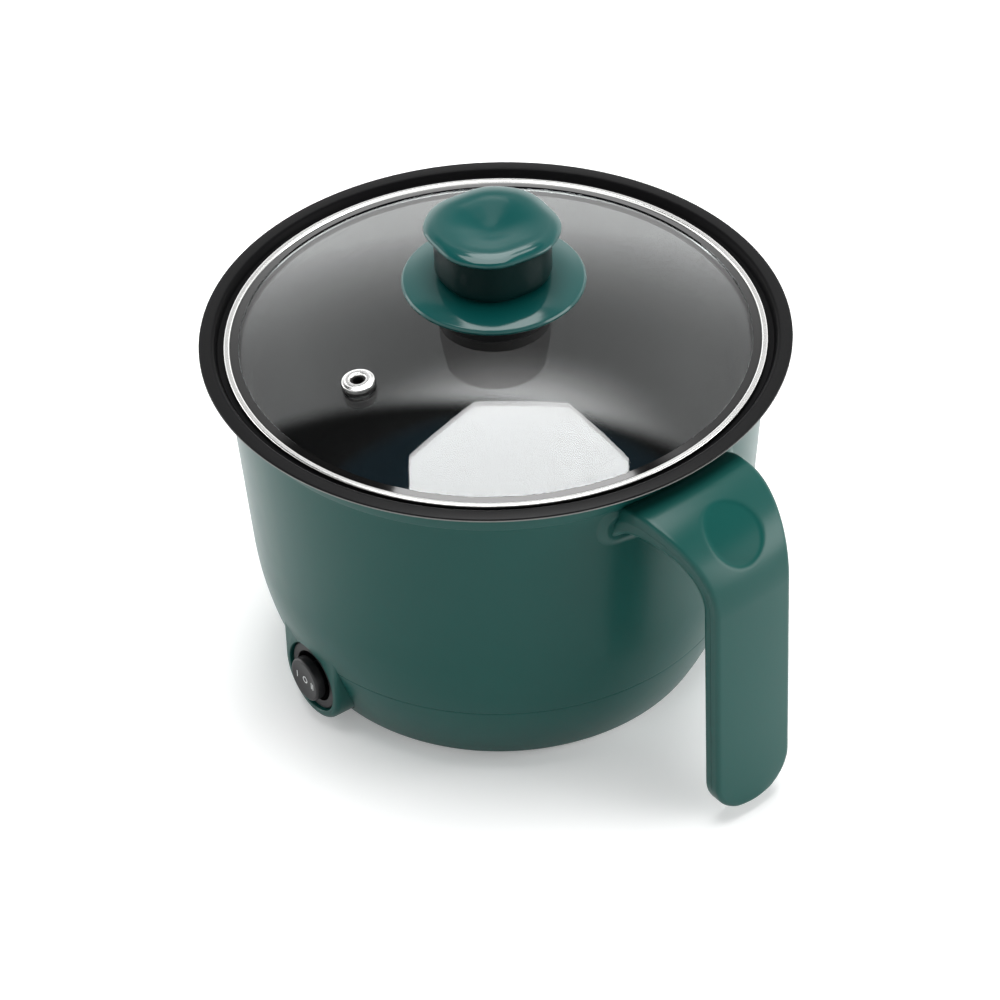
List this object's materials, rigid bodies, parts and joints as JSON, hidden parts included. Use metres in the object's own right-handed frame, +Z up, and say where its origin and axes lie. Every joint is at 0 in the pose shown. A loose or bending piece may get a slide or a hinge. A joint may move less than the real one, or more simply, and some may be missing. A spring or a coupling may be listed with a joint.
{
  "type": "electric travel cooker",
  "caption": "Compact electric cooker: non-stick pot in a tapered green housing, lift-off glass lid with a lobed knob, strap handle and round rocker switch.",
  "frame": {"origin": "on the table under the axis of the pot", "axes": "+X along the handle, away from the pot; +Z up; +Y completes the right-handed set, so the switch looks towards -Y"},
  "size_m": [0.2256, 0.195, 0.17],
  "materials": {
    "green_plastic": "satin",
    "green_gloss": "gloss",
    "black_plastic": "satin",
    "switch_black": "satin",
    "black_rubber": "matte",
    "pot_coating": "satin",
    "bright_steel": "polished",
    "plain_steel": "satin",
    "lid_glass": "gloss",
    "plate_aluminium": "satin",
    "contact_brass": "satin",
    "white_insulator": "matte"
  },
  "bodies": {
    "cooker": {"outer_housing": "green_plastic", "base_cover": "green_plastic", "handle_outer": "green_plastic", "handle_inner_cover": "green_plastic", "cord_gland": "black_plastic", "gland_nut": "black_plastic", "switch_body": "switch_black", "feet": "black_rubber", "rim_gasket": "black_rubber", "inner_pot": "pot_coating", "base_screws": "plain_steel", "handle_screws": "plain_steel", "handle_cover_screw": "plain_steel", "heat_shield": "plain_steel", "heating_tube": "plain_steel", "pot_studs": "plain_steel", "thermostat_bracket": "plain_steel", "heating_plate": "plate_aluminium", "switch_terminals": "contact_brass", "terminal_block": "white_insulator", "thermal_fuse": "white_insulator", "thermostat": "white_insulator"},
    "lid": {"lid_glass": "lid_glass", "lid_band": "bright_steel", "lid_seal": "black_rubber", "vent_eyelet": "bright_steel", "vent_gasket": "black_rubber", "knob_grip": "green_gloss", "knob_skirt": "green_gloss", "knob_seat": "black_plastic", "knob_gasket": "black_rubber", "knob_screw": "plain_steel", "knob_washer": "plain_steel"},
    "rocker": {"switch_rocker": "switch_black"}
  },
  "joints": [
    {"name": "lid_lift", "type": "slide", "parent": "cooker", "child": "lid", "axis": [0, 0, 1], "range_m": [0, 0.12]},
    {"name": "rocker_turn", "type": "hinge", "parent": "cooker", "child": "rocker", "pos_m": [-0.00455, -0.07231, 0.0171], "axis": [0, 0, 1], "range_deg": [-9, 9]}
  ]
}
